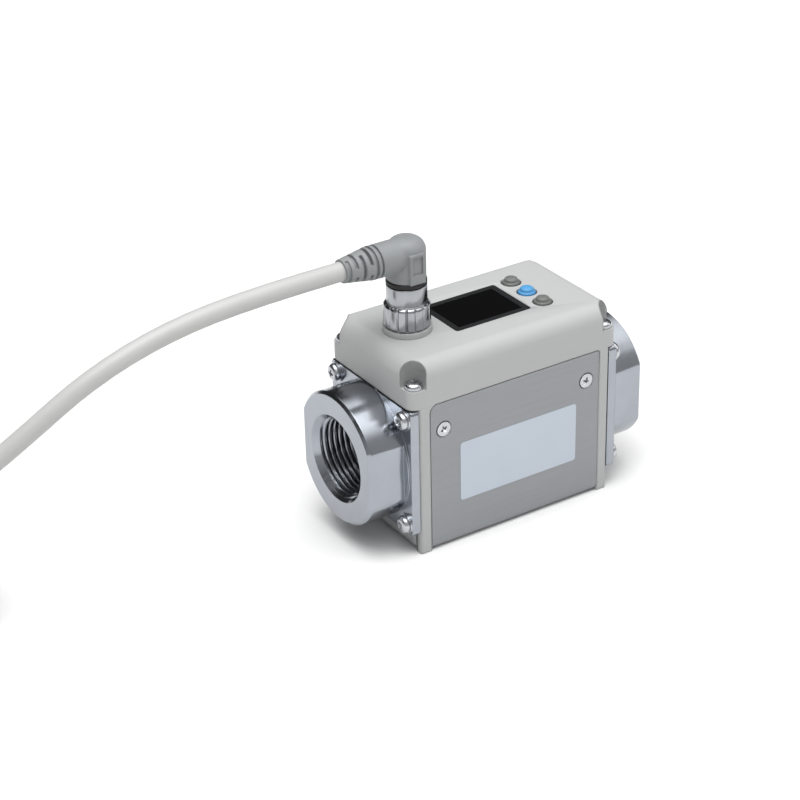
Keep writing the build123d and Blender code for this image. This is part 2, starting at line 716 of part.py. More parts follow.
# Elbow: soft moulding with a raised pad at the front and a slotted taper round the cable
elbow_top = arm_height + arm_radius
arm_end = plug_x - arm_length
relief_start = arm_end - 2.6
relief_end = relief_start - relief_length + 2.6
pad_width = 5.4
pad_proud = 0.6
pad_bottom = elbow_foot + 1.2
pad_top = elbow_top - 1.2
with BuildPart() as plug_elbow:
    with BuildSketch(Plane.XY.offset(elbow_foot)):
        with Locations((plug_x, 0)):
            Circle(elbow_radius)
    extrude(amount=elbow_top - elbow_foot)
    fillet(faces().sort_by(Axis.Z)[-1].edges(), elbow_crown_radius)
    with BuildSketch(Plane.XY.offset(collar_top)):
        with Locations((plug_x, 0)):
            Circle(plug_neck_radius)
    extrude(amount=elbow_foot - collar_top)
    # Arm with two ring grooves, then the taper
    with BuildSketch(Plane.XZ):
        with BuildLine():
            Polyline(
                (plug_x, arm_height),
                (plug_x, arm_height + arm_radius),
                (arm_end, arm_height + arm_radius),
                (arm_end, arm_height + arm_radius - 0.8),
                (arm_end - 0.7, arm_height + arm_radius - 0.8),
                (arm_end - 0.7, arm_height + arm_radius),
                (arm_end - 1.7, arm_height + arm_radius),
                (arm_end - 1.7, arm_height + arm_radius - 0.8),
                (relief_start, arm_height + arm_radius - 0.8),
                (relief_start, arm_height + arm_radius - 0.1),
                (relief_end, arm_height + relief_end_radius),
                (relief_end, arm_height),
                close=True,
            )
        make_face()
    revolve(axis=Axis((0, 0, arm_height), (1, 0, 0)))
    # Staggered slots of the taper
    slot_pitch = (relief_start - relief_end) / relief_slots
    for index in range(relief_slots):
        slot_x = relief_start - (index + 0.7) * slot_pitch
        with BuildSketch(Plane(origin=(slot_x, 0, arm_height), x_dir=(0, 1, 0), z_dir=(1, 0, 0))):
            Circle(arm_radius + 1)
            Circle(cable_radius + 0.25, mode=Mode.SUBTRACT)
            Rectangle(2 * arm_radius + 4, 2.6, rotation=90 * (index % 2), mode=Mode.SUBTRACT)
        extrude(amount=slot_pitch * 0.4, mode=Mode.SUBTRACT)
    # Pad
    with BuildSketch(Plane.XZ.offset(elbow_radius / 2)):
        with Locations((plug_x, (pad_bottom + pad_top) / 2)):
            RectangleRounded(pad_width, pad_top - pad_bottom, 0.8)
    extrude(amount=elbow_radius / 2 + pad_proud)
    with BuildSketch(Plane.XZ.offset(elbow_radius + pad_proud)):
        with Locations((plug_x, pad_top - 3.8)):
            RectangleRounded(3.4, 5.8, 0.5)
    extrude(amount=-pad_proud, mode=Mode.SUBTRACT)
write(plug_elbow, "plug_elbow")

# Cable: out of the taper, level, then down in one curve to the top of its hank
hank_top = tie_thickness + 2 * cable_radius * hank_layers
lane_top = hank_top - cable_radius
hank_outer = hank_radius_outer + cable_radius
hank_inner = hank_radius_inner - cable_radius
hank_x = hank_near_end - hank_outer - hank_straight / 2
hank_y = thread_bore_radius + hank_path_gap + tie_thickness + hank_outer
lane_y = hank_y - hank_radius_outer
entry_x = hank_near_end - hank_entry_inset
cable_points = [
    (relief_end, 0, arm_height),
    (-76, 0, arm_height),
    (-104.7, 0.6, 87.3),
    (-128.8, 2.8, 78.4),
    (-147.8, 7.2, 64.2),
    (-163, 12.2, 52.4),
    (entry_x + 17, lane_y, lane_top),
    (entry_x, lane_y, lane_top),
]
runs = [Vector(*b) - Vector(*a) for a, b in zip(cable_points, cable_points[1:])]
cable_radii = [
    0.45 * min(before.length, after.length) / tan(radians(before.get_angle(after)) / 2)
    for before, after in zip(runs, runs[1:])
]
print("cable arc radii", [round(radius, 1) for radius in cable_radii])
with BuildPart() as cable:
    with BuildLine() as cable_route:
        FilletPolyline(*cable_points, radius=cable_radii)
    with BuildSketch(Plane(origin=cable_points[0], z_dir=runs[0])):
        Circle(cable_radius)
    sweep()
cable_length = sum(edge.length for edge in cable_route.edges())
print("cable tube length", round(cable_length, 2), "volume ratio",
      round(cable.part.volume / (pi * cable_radius**2 * cable_length), 4))
write(cable, "cable")

# Hank: the outer shape of the rest of the cable, folded in long turns beside the way to the port,
# with a notch where the cable comes in and one for its end
end_x = hank_x - hank_straight / 2
end_y = hank_y + hank_radius_inner
with BuildPart() as cable_hank:
    with BuildSketch(Plane.XY.offset(tie_thickness)):
        with Locations((hank_x, hank_y)):
            SlotCenterToCenter(hank_straight, 2 * hank_outer)
            SlotCenterToCenter(hank_straight, 2 * hank_inner, mode=Mode.SUBTRACT)
    extrude(amount=hank_top - tie_thickness)
    with Locations((entry_x, lane_y, hank_top)):
        Box(hank_entry_inset, 2 * (cable_radius + fit_gap), 2 * cable_radius + fit_gap,
            align=(Align.MIN, Align.CENTER, Align.MAX), mode=Mode.SUBTRACT)
    with Locations((end_x, end_y, hank_top)):
        Box(lead_core_length + 1, 2 * cable_radius, 2 * cable_radius,
            align=(Align.MIN, Align.CENTER, Align.MAX), mode=Mode.SUBTRACT)
write(cable_hank, "cable_hank")

# Tie round the whole hank, between the two notches
with BuildPart() as cable_tie:
    with BuildSketch(Plane.YZ.offset(hank_near_end - tie_inset)):
        with Locations((hank_y, hank_top / 2 + tie_thickness / 2)):
            RectangleRounded(2 * (hank_outer + tie_thickness), hank_top + tie_thickness, tie_thickness)
            Rectangle(2 * hank_outer, hank_top - tie_thickness, mode=Mode.SUBTRACT)
    extrude(amount=tie_width / 2, both=True)
write(cable_tie, "cable_tie")

# Stripped cores at the free end, lying in the notch
core_offset = cable_radius / 2 - lead_core_radius / 2
with BuildPart() as lead_cores:
    core_start = (end_x, end_y, lane_top)
    with BuildSketch(Plane(origin=core_start, x_dir=(0, 1, 0), z_dir=(1, 0, 0))):
        with GridLocations(2 * core_offset, 2 * core_offset, 2, 2):
            Circle(lead_core_radius)
    extrude(amount=lead_core_length)
write(lead_cores, "lead_cores")
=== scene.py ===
from math import acos, cos, pi, radians, sin

import bmesh
import bpy
import numpy as np
from mathutils import Matrix, Vector


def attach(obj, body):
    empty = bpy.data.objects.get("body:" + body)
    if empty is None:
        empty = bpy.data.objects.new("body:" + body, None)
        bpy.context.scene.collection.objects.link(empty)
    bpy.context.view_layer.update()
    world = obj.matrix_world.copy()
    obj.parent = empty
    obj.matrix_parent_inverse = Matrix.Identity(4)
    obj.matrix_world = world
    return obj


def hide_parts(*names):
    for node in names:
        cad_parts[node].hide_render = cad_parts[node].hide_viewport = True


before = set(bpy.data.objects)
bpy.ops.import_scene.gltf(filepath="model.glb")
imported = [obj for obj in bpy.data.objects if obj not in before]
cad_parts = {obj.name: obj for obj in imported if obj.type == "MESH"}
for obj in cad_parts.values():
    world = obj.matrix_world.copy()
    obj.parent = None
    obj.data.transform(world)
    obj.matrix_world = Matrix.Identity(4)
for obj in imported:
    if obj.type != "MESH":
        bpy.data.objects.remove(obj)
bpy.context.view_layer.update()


# Camera: the photograph's own angle, from the left front and above, through a long lens.
# Its turn and place were fitted to the edges of the body and the ports.
def in_scene(name, data):
    """A new object of the scene that holds the given data."""
    item = bpy.data.objects.new(name, data)
    bpy.context.scene.collection.objects.link(item)
    return item


azimuth, elevation, roll = radians(-32.409), radians(28.574), radians(-1.325)
aim_height, distance, shift_right, shift_up = 0.030, 0.705653, -0.023571, 0.002426
back = Vector((sin(azimuth) * cos(elevation), -cos(azimuth) * cos(elevation), sin(elevation)))
level = (-back).cross(Vector((0, 0, 1))).normalized()
upright = level.cross(-back)
right = cos(roll) * level + sin(roll) * upright
up = cos(roll) * upright - sin(roll) * level
camera = in_scene("camera", bpy.data.cameras.new("camera"))
camera.data.lens = 100.70
camera.data.sensor_width = 36
camera.matrix_world = Matrix((right, up, back)).transposed().to_4x4()
camera.location = Vector((0, 0, aim_height)) + back * distance + right * shift_right + up * shift_up
bpy.context.scene.camera = camera
bpy.context.scene.view_settings.view_transform = "Standard"


# Cable: light grey round jacket of a stiffish lead, with faint smudges and a soft sheen.
# One spline runs from the plug down to the floor and on through the laps of the tied hank:
# seven laps down, a step inwards, and then back up inside the first ones.
class Wire:
    """A shader socket that takes part in sums like a number."""

    def __init__(self, tree, out):
        self.tree, self.out = tree, out

    def node(self, kind, inputs=(), out=0, **settings):
        """A node of any kind, its settings made first, then its sockets' values or links."""
        made = self.tree.nodes.new(kind)
        for key, value in settings.items():
            setattr(made, key, value)
        for key, value in dict(inputs).items():
            if isinstance(value, Wire):
                self.tree.links.new(value.out, made.inputs[key])
            else:
                made.inputs[key].default_value = value
        return Wire(self.tree, made.outputs[out])

    def math(self, operation, *values):
        return self.node("ShaderNodeMath", enumerate(values), operation=operation)

    def __add__(self, other):
        return self.math("ADD", self, other)

    def __radd__(self, other):
        return self.math("ADD", other, self)

    def __sub__(self, other):
        return self.math("SUBTRACT", self, other)

    def __rsub__(self, other):
        return self.math("SUBTRACT", other, self)

    def __mul__(self, other):
        return self.math("MULTIPLY", self, other)

    def __rmul__(self, other):
        return self.math("MULTIPLY", other, self)

    def __gt__(self, other):
        return self.math("GREATER_THAN", self, other)

    def __lt__(self, other):
        return self.math("LESS_THAN", self, other)

    def __abs__(self):
        return self.math("ABSOLUTE", self)

    def noise(self, scale, detail, stretch=(1, 1, 1)):
        where = self.node("ShaderNodeMapping", {"Vector": self, "Scale": stretch})
        return where.node("ShaderNodeTexNoise", {"Vector": where, "Scale": scale, "Detail": detail})

    def axis(self, name):
        return self.node("ShaderNodeSeparateXYZ", {0: self}, out=name)

    def blend(self, low, high):
        """From colour low at 0 to colour high at 1."""
        return self.node("ShaderNodeMix", {0: self, 6: low, 7: high}, out=2, data_type="RGBA")


def material(name, **constants):
    """A material with its constants set; also its shader and the object's own coordinates."""
    made = bpy.data.materials.new(name)
    made.use_nodes = True
    shader = made.node_tree.nodes["Principled BSDF"]
    for socket, value in constants.items():
        shader.inputs[socket.replace("_", " ")].default_value = value
    place = Wire(made.node_tree, made.node_tree.nodes.new("ShaderNodeTexCoord").outputs["Object"])
    return made, shader, place


def connect(shader, **wires):
    """Links each wire to the shader's socket of that name."""
    for socket, wire in wires.items():
        wire.tree.links.new(wire.out, shader.inputs[socket.replace("_", " ")])


def relief(place, shader, height, distance, rounding):
    """Bump from height over edges that are softened by a small rounding."""
    soft = place.node("ShaderNodeBevel", {"Radius": rounding}, samples=4)
    bump = {"Height": height, "Distance": distance, "Strength": 1.0, "Normal": soft}
    connect(shader, Normal=place.node("ShaderNodeBump", bump))


def add(name, data, body, slot, *stands_for):
    """Puts a finished mesh or curve in the scene as a piece of the given body."""
    piece = in_scene(name, data)
    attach(piece, body)
    if stands_for:
        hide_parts(*stands_for)
    return piece


mm = 0.001


def tube(routes, radius, name, resolution):
    """A curve with one smooth open spline for each route, all in millimetres."""
    data = bpy.data.curves.new(name, "CURVE")
    data.dimensions = "3D"
    data.bevel_depth = radius * mm
    data.bevel_resolution = resolution
    data.use_fill_caps = True
    for points in routes:
        spline = data.splines.new("NURBS")
        spline.points.add(len(points) - 1)
        for point, spot in zip(spline.points, points):
            point.co = (*(v * mm for v in spot), 1)
        spline.order_u = 3
        spline.use_endpoint_u = True
        spline.resolution_u = 4
    return data


jacket, shader, place = material("cable_jacket", Roughness=0.42, Specular_IOR_Level=0.4)
smudge = place.noise(90, 3)
connect(shader, Base_Color=smudge.blend((0.405, 0.405, 0.4, 1), (0.44, 0.44, 0.435, 1)))
relief(place, shader, place.noise(2200, 2), 0.00002, 0.0001)

cable_diameter, exit_x, exit_height = 6, -47.3, 90.4
hank_x, hank_y, half_run, top_height, outer_radius, inner_radius = -204.5, 31.3, 29.5, 46, 15, 9
laps, sinks_from, layers, inwards_from, inwards_laps, rises_from = 14.5, 0.1, 7, 7.1, 0.4, 7.5
per_half_lap, run_points, run_spacing, bend_turn = 13, 5, 11.5, 22.5
route = [
    (exit_x, 0, exit_height), (-76, 0, exit_height), (-104.7, 0.6, 87.3), (-128.8, 2.8, 78.4),
    (-147.8, 7.2, 64.2), (-163, 12.2, 52.4), (-178, 16.3, top_height), (-195, 16.3, top_height),
]
for step in range(2, int(laps * 2 * per_half_lap) + 1):
    lap = step / (2 * per_half_lap)
    inwards = min(max((lap - inwards_from) / inwards_laps, 0), 1)
    radius = outer_radius - (outer_radius - inner_radius) * inwards
    height = top_height - cable_diameter * min(max(lap - sinks_from, 0), layers)
    height += cable_diameter * max(lap - rises_from, 0)
    side = -1 if step // per_half_lap % 2 == 0 else 1
    spot = step % per_half_lap
    if spot < run_points:
        along, across = run_spacing * (2 - spot), radius
    else:
        angle = radians(bend_turn / 2 + bend_turn * (spot - run_points))
        reach = radius / cos(radians(bend_turn / 2))
        along, across = -half_run - reach * sin(angle), reach * cos(angle)
    route.append((hank_x - side * along, hank_y + side * across, height))
data = tube([route], cable_diameter / 2, "lead", 6)
data.materials.append(jacket)
lead = add("lead", data, "meter", "cable_jacket", "cable", "cable_hank")

# Cores: four thin insulated wires at the stripped end, brown, white, black and blue.
# Slightly fanned curves, each with a bright copper tip left bare.
core_radius, bare_from = 0.65, 24
end_x, end_y = hank_x - half_run, hank_y + inner_radius
fan = ((6, 1.2, 0, 1.2), (12, 1.3, 0.3, 1.2), (20, 1.5, 0.6, 1), (28, 1.6, 0.7, 1))
ends = [[(end_x + along, end_y + spread * y, top_height - drop + lift * z)
         for along, spread, drop, lift in fan]
        for y, z in ((-1, -1), (1, -1), (-1, 1), (1, 1))]
data = tube(ends, core_radius, "core_wires", 3)
colours = {"brown": (0.16, 0.06, 0.02, 1), "white": (0.75, 0.75, 0.73, 1),
           "black": (0.02, 0.02, 0.02, 1), "blue": (0.03, 0.1, 0.4, 1)}
for name, colour in colours.items():
    cover, shader, place = material(f"core_{name}", Roughness=0.35)
    tip = place.axis("X") > (end_x + bare_from) * mm
    connect(shader, Base_Color=tip.blend(colour, (0.8, 0.42, 0.25, 1)), Metallic=tip)
    data.materials.append(cover)
for index, spline in enumerate(data.splines):
    spline.material_index = index
cores = add("core_wires", data, "meter", "core_covers", "lead_cores")


# Sensor block: frame of light grey plastic, moulded with a fine spark-eroded texture and
# slightly softened edges. The housing and the socket further on are of the same plastic.
def paint(made, *names):
    """Gives the solids of those names the material."""
    for name in names:
        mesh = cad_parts[name].data
        mesh.materials.clear()
        mesh.materials.append(made)


moulded, shader, place = material("moulded_grey", Specular_IOR_Level=0.35)
connect(shader, Roughness=place.noise(600, 2) * 0.12 + 0.42,
        Base_Color=place.noise(35, 3).blend((0.37, 0.374, 0.374, 1), (0.395, 0.399, 0.398, 1)))
relief(place, shader, place.noise(3600, 3), 0.000025, 0.0006)
paint(moulded, "sensor_block")

# Shield sheet: satin grey coated metal, bent round the front, underside and back.
# The solid's own shape, with a faint horizontal grain.
satin, shader, place = material("satin_sheet", Metallic=0.55)
grain = place.noise(900, 3, (0.04, 1, 1))
connect(shader, Roughness=grain * 0.12 + 0.34,
        Base_Color=grain.blend((0.235, 0.243, 0.256, 1), (0.278, 0.287, 0.30, 1)))
relief(place, shader, grain, 0.000008, 0.0003)
paint(satin, "shield_sheet")

# Nameplate: thin silvery film stuck to the sheet, left bare.
# The solid's own shape, with a slightly uneven gloss.
film, shader, place = material("label_film", Metallic=0.35)
connect(shader, Roughness=place.noise(300, 2) * 0.1 + 0.3,
        Base_Color=place.noise(60, 2).blend((0.42, 0.465, 0.525, 1), (0.45, 0.495, 0.555, 1)))
relief(place, shader, place.noise(1500, 2), 0.000006, 0.0001)
paint(film, "nameplate")

# Display window: black printed glass over the display.
# The solid's own shape; the print leaves a clear black middle inside a dark grey border.
clear_x, clear_half_width, clear_half_depth = 0.5, 11.8, 8.2
glass, shader, place = material(
    "window", Specular_IOR_Level=0.2, Coat_Weight=1.0, Coat_Roughness=0.03)
inside = ((abs(place.axis("X") - clear_x * mm) < clear_half_width * mm)
          * (abs(place.axis("Y")) < clear_half_depth * mm))
connect(shader, Roughness=inside * -0.25 + 0.35,
        Base_Color=inside.blend((0.014, 0.015, 0.016, 1), (0.001, 0.001, 0.0012, 1)))
relief(place, shader, place.noise(100, 1), 0.000001, 0.0002)
paint(glass, "display_window")


# Ports: bright plated steel, turned and milled. Each is a turned boss with two flats, whose
# bore follows the profile of a real spiral of pipe thread, in front of a rounded plate.
def lathe(rings, angles):
    """Verts and faces of a form turned about X.

    rings gives for an angle the pairs of x and radius, some with the half width of two flats.
    """
    rows = [rings(angle) for angle in angles]
    verts, faces = [], []
    for angle, row in zip(angles, rows):
        for x, radius, *flats in row:
            y = radius * cos(angle)
            for half in flats:
                y = max(-half, min(half, y))
            verts.append((x, y, radius * sin(angle)))
    count, depth = len(rows), len(rows[0])
    for i in range(count):
        j = (i + 1) % count
        for k in range(depth - 1):
            faces.append((i * depth + k, j * depth + k, j * depth + k + 1, i * depth + k + 1))
    return verts, faces


plated, shader, place = material("plated", Metallic=1.0)
wear = place.noise(120, 3)
connect(shader, Roughness=place.noise(700, 3) * 0.12 + 0.14,
        Base_Color=wear.blend((0.30, 0.32, 0.352, 1), (0.37, 0.39, 0.424, 1)))
relief(place, shader, place.noise(1500, 2), 0.000004, 0.00025)

axis_height, boss_radius, boss_flat = 28.5, 21.5, 19.2
boss_seat, flats_from, port_face = 36.0, 39.2, 51.5
chamfer_from, chamfer_radius, chamfer_flat = 50.6, 20.6, 18.3
thread_pitch, thread_minor, thread_deep, thread_step, thread_end = 1.814, 12.06, 1.1, 0.15, 38.25
flank_slope, crest, mouth_radius, mouth_slope = 2.6, 0.15, 14.2, 0.9
bore_from, bore_radius = 38.3, 10.0
flat_angle = acos(boss_flat / boss_radius)
across_flat = np.linspace(-flat_angle, flat_angle, 17)[:-1]
across_round = np.linspace(flat_angle, pi - flat_angle, 57)[:-1]
boss_angles = [*across_flat, *across_round, *(across_flat + pi), *(across_round + pi)]


def boss_rings(angle):
    """The outside with flats and chamfer, the thread as it is at this angle, then the bore."""
    rings = [(boss_seat, boss_radius), (flats_from, boss_radius),
             (flats_from, boss_radius, boss_flat), (chamfer_from, boss_radius, boss_flat),
             (port_face, chamfer_radius, chamfer_flat)]
    for x in np.arange(port_face, thread_end, -thread_step):
        phase = (x / thread_pitch + angle / (2 * pi)) % 1
        groove = min(max((0.5 - abs(phase - 0.5)) * flank_slope - crest, 0), 1)
        mouth = mouth_radius - mouth_slope * (port_face - x)
        rings.append((x, max(thread_minor + thread_deep * groove, mouth)))
    return rings + [(bore_from, thread_minor), (bore_from, bore_radius), (boss_seat, bore_radius)]


def arc(x, y, radius_x, radius_y, degrees):
    """Points of an arc about (x, y)."""
    return [(x + radius_x * cos(radians(a)), y + radius_y * sin(radians(a))) for a in degrees]


corner_y, corner_top, corner_foot, corner_radius, flow_radius = 21, 48.5, 8.5, 1.5, 11
plate_back, plate_front = 35.5, 38.5
plate_edges = ((plate_back, 0.25), (35.75, 0), (38.2, 0), (plate_front, 0.3))


def plate():
    """Plate with rounded corners and softened edges, with a hole for the flow."""
    outline = []
    for y, z, start in ((corner_y, corner_top, 0), (-corner_y, corner_top, 90),
                        (-corner_y, corner_foot, 180), (corner_y, corner_foot, 270)):
        outline += arc(y, z, corner_radius, corner_radius, range(start, start + 91, 15))
    verts, faces = [], []
    for x, inset in plate_edges:
        for y, z in outline:
            in_z = inset * (1 if z > axis_height else -1)
            verts.append((x, y - inset * (1 if y > 0 else -1), z - in_z))
    for x in (plate_back, plate_front):
        for y, z in outline:
            rim = Vector((y, z - axis_height)).normalized() * flow_radius
            verts.append((x, rim.x, rim.y + axis_height))
    count = len(outline)
    for i in range(count):
        j = (i + 1) % count
        for k in range(3):
            faces.append((k * count + i, k * count + j, (k + 1) * count + j, (k + 1) * count + i))
        faces.append((4 * count + i, 4 * count + j, j, i))
        faces.append((3 * count + i, 3 * count + j, 5 * count + j, 5 * count + i))
    return verts, faces


weld = 0.0005


def build_mesh(name, parts, made, sharp=35, unit=mm):
    """One mesh from several forms in millimetres, welded and with its faces outwards."""
    verts, faces = [], []
    for some, joined in parts:
        faces += [tuple(i + len(verts) for i in face) for face in joined]
        verts += some
    mesh = bpy.data.meshes.new(name)
    mesh.from_pydata([tuple(c * unit for c in v) for v in verts], [], faces)
    mesh.validate()
    shape = bmesh.new()
    shape.from_mesh(mesh)
    bmesh.ops.remove_doubles(shape, verts=shape.verts, dist=weld * unit)
    bmesh.ops.recalc_face_normals(shape, faces=shape.faces)
    shape.to_mesh(mesh)
    shape.free()
    mesh.shade_smooth()
    mesh.set_sharp_from_angle(angle=radians(sharp))
    mesh.materials.append(made)
    return mesh


verts, faces = lathe(boss_rings, boss_angles)
boss = ([(x, y, z + axis_height) for x, y, z in verts], faces)
for word, side in (("left", -1), ("right", 1)):
    parts = [([(side * x, side * y, z) for x, y, z in verts], faces)
             for verts, faces in (boss, plate())]
    mesh = build_mesh(f"turned_port_{word}", parts, plated)
    add(f"turned_port_{word}", mesh, "meter", "plated", f"port_{word}")


# Housing: cap and legs in one moulding of the light grey plastic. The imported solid's own mesh,
# with each corner pocket opened upwards to the cap's rounded edge by a domed cutter, and the
# legs' outer corners filled out to a tight radius.
def full_turn(count):
    """Equal steps of angle round a full turn."""
    return list(np.linspace(0, 2 * pi, count + 1)[:-1])


def turned(profile, count):
    """A plain round form turned to a profile of (place along the axis, radius)."""
    return lathe(lambda angle: profile, full_turn(count))


def on_end(form, x=0, y=0):
    """A turned form stood on end about the upright axis through (x, y)."""
    verts, faces = form
    return [(x + v[1], y + v[2], v[0]) for v in verts], faces


def applied(item, *helpers):
    """The object's mesh with its modifiers applied; it and its helpers leave the scene."""
    bpy.context.view_layer.update()
    depsgraph = bpy.context.evaluated_depsgraph_get()
    mesh = bpy.data.meshes.new_from_object(item.evaluated_get(depsgraph))
    for spent in (item, *helpers):
        bpy.data.objects.remove(spent)
    return mesh


def carve(mesh, cutter_mesh):
    """The first mesh less the second, both in millimetres; the result is in metres."""
    body, cutter = (in_scene(part.name, part) for part in (mesh, cutter_mesh))
    cut = body.modifiers.new("cut", "BOOLEAN")
    cut.object, cut.operation, cut.solver, cut.use_self = cutter, "DIFFERENCE", "EXACT", True
    result = applied(body, cutter)
    result.transform(Matrix.Scale(mm, 4))
    return result


pocket_x, pocket_y, pocket_radius, dome_foot, dome_height = 35.2, 19.2, 4.02, 60.2, 61.0
leg_x, leg_y, leg_height, leg_corner, solid_corner = 35.5, 22.5, 50.5, 1.0, 3.0
fill_inner, fill_end = 2.95, leg_corner - 0.04
dome = [(dome_foot, 0), (dome_foot, pocket_radius), (dome_height, pocket_radius)]
dome += [(dome_height + pocket_radius * sin(radians(a)), pocket_radius * cos(radians(a)))
         for a in range(8, 90, 8)]
dome.append((dome_height + pocket_radius, 0))
scoops = [on_end(turned(dome, 64), x, y)
          for x in (-pocket_x, pocket_x) for y in (-pocket_y, pocket_y)]
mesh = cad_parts["housing"].data.copy()
mesh.materials.clear()
mesh.transform(Matrix.Scale(1 / mm, 4))
shape = bmesh.new()
shape.from_mesh(mesh)
bmesh.ops.remove_doubles(shape, verts=shape.verts, dist=weld)
shape.to_mesh(mesh)
shape.free()
mesh = carve(mesh, build_mesh("scoops", scoops, moulded, unit=1))

section = arc(leg_x - solid_corner, leg_y - solid_corner, fill_inner, fill_inner,
              range(90, -1, -10))
section += arc(leg_x - leg_corner, leg_y - leg_corner, fill_end, leg_corner, range(0, 91, 15))
count = len(section)
faces = [tuple(range(count)), tuple(range(count, 2 * count))]
faces += [(i, (i + 1) % count, (i + 1) % count + count, i + count) for i in range(count)]
fills = [([(side_x * x, side_y * y, z) for z in (0, leg_height) for x, y in section], faces)
         for side_x in (-1, 1) for side_y in (-1, 1)]
shape = bmesh.new()
shape.from_mesh(mesh)
shape.from_mesh(build_mesh("leg_corners", fills, moulded))
shape.to_mesh(mesh)
shape.free()
mesh.materials.clear()
mesh.materials.append(moulded)
mesh.shade_smooth()
mesh.set_sharp_from_angle(angle=radians(32))
holder = in_scene("holder", mesh)
weighted = holder.modifiers.new("weighted", "WEIGHTED_NORMAL")
weighted.keep_sharp, weighted.weight = True, 100
add("moulded_housing", applied(holder), "meter", "moulded_grey", "housing")

# Coupling nut: nickel-plated, with wide flats between narrow flutes below a smooth collar.
# A turned form whose radius dips at each flute, so that the grip's top edge rises and falls.
plug_x, nut_foot = -24.6, 66.9
flutes, flute_deep, flute_share, flute_floor = 16, 0.4, 0.26, 6.4
foot = ((0, 6.05), (0, 6.75))
grip = ((0.35, 7.0), (0.6, 7.2), (0.8, 7.25), (6.6, 7.25), (6.95, 7.18), (7.3, 6.95), (7.6, 6.6))
collar = ((7.7, 6.42), (7.72, 6.2), (8.0, 6.18), (8.2, 6.3), (13.35, 6.3), (13.6, 6.22),
          (13.7, 6.0), (13.7, 5.3), (9.7, 5.3), (9.7, 6.05), (0, 6.05))


def nut_rings(angle):
    """The nut's profile at this angle, inside and out."""
    off_flute = abs((angle / (2 * pi) * flutes) % 1 - 0.5) * 2
    dip = flute_deep * (1 - off_flute / flute_share) ** 0.5 if off_flute < flute_share else 0.0
    fluted = [(height, max(radius - dip, flute_floor)) for height, radius in grip]
    return [(nut_foot + height, radius) for height, radius in (*foot, *fluted, *collar)]


nickel, shader, place = material("nickel", Metallic=1.0)
marks = place.noise(900, 3, (1, 1, 0.05))
connect(shader, Roughness=marks * 0.12 + 0.16,
        Base_Color=place.noise(160, 3).blend((0.30, 0.312, 0.33, 1), (0.40, 0.41, 0.43, 1)))
relief(place, shader, marks, 0.000003, 0.00012)
mesh = build_mesh("turned_nut", [on_end(lathe(nut_rings, full_turn(320)), plug_x)], nickel)
coupling = add("turned_nut", mesh, "nut", "plated", "coupling_nut")

# Plug ring: black rubber seal between nut and elbow, dull and faintly uneven.
# The solid's own shape; the seals inside the meter are of the same rubber.
rubber, shader, place = material("rubber_black", Specular_IOR_Level=0.3)
connect(shader, Roughness=place.noise(900, 2) * 0.2 + 0.45,
        Base_Color=place.noise(300, 2).blend((0.012, 0.012, 0.013, 1), (0.025, 0.025, 0.026, 1)))
relief(place, shader, place.noise(2500, 2), 0.00001, 0.0003)
paint(rubber, "plug_ring", "port_seals", "electrode_seals")

# Elbow: soft grey moulding round the end of the cable, matt, with a fine grain. A turned upright
# body with a rounded crown, a turned level arm with two ring grooves and a taper slotted so that
# it bends, and a raised pad with a bare recess.
elbow_grey, shader, place = material("elbow_grey", Specular_IOR_Level=0.35)
connect(shader, Roughness=place.noise(900, 2) * 0.15 + 0.42,
        Base_Color=place.noise(120, 3).blend((0.205, 0.214, 0.218, 1), (0.23, 0.24, 0.245, 1)))
relief(place, shader, place.noise(3000, 3), 0.00002, 0.0005)

neck_foot = min(v.co.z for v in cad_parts["plug_elbow"].data.vertices) / mm
neck_radius, elbow_foot, elbow_top, elbow_radius, crown = 5.2, 82.5, 95.55, 6.05, 4.0
body_profile = [(neck_foot, 0), (neck_foot, neck_radius), (elbow_foot, neck_radius),
                (elbow_foot, elbow_radius)]
body_profile += [(elbow_top - crown + crown * sin(radians(a)),
                  elbow_radius - crown + crown * cos(radians(a))) for a in range(0, 91, 9)]
body_profile.append((elbow_top, 0))

arm_height, arm_radius, arm_end, arm_widens = 90.4, 5.15, -35.4, 1.05
groove_wide, groove_deep, second_groove, groove_step = 0.7, 0.8, 1.7, 0.05
taper_start, taper_end, taper_radius, taper_narrows, tip_radius = -38.0, -47.3, 5.05, 1.45, 3.6
slots, slot_place, slot_share, slot_floor, bridge_half = 4, 0.75, 0.42, 3.3, radians(19)


def arm_rings(angle):
    """Level arm with two ring grooves, then the taper with slots that bridges interrupt."""
    rows = [(plug_x, 0), (plug_x, arm_radius)]
    for start, end in ((arm_end, arm_end - groove_wide), (arm_end - second_groove, taper_start)):
        rows += [(start, arm_radius), (start, arm_radius - groove_deep),
                 (end, arm_radius - groove_deep), (end, arm_radius - groove_step)]
    pitch = (taper_start - taper_end) / slots
    for index in range(slots):
        bridge = abs(cos(angle) if index % 2 == 0 else sin(angle)) > cos(bridge_half)
        low = taper_start - (index + slot_place) * pitch
        high = low + slot_share * pitch
        for x, inner in ((high, False), (high, True), (low, True), (low, False)):
            outer = taper_radius - taper_narrows * (taper_start - x) / (taper_start - taper_end)
            rows.append((x, slot_floor if inner and not bridge else outer))
    return rows + [(taper_end, tip_radius), (taper_end, 0)]


pad_half, pad_foot, pad_top = 2.7, elbow_foot + 0.02, elbow_top - 3.5
pad_back, pad_front = -3.0, -6.7
recess_half, recess_foot, recess_top, recess_floor = 1.7, 85.6, 91.2, -6.15
pad_edge, pad_cut, recess_cut, face_share = 0.15, 0.5, 0.3, 0.95


def oblong(half, foot, top, cut):
    """Six points (x, z) of an upright oblong at the plug whose upper corners are cut off."""
    return [(plug_x - half, foot), (plug_x + half, foot), (plug_x + half, top - cut),
            (plug_x + half - cut, top), (plug_x - half + cut, top), (plug_x - half, top - cut)]


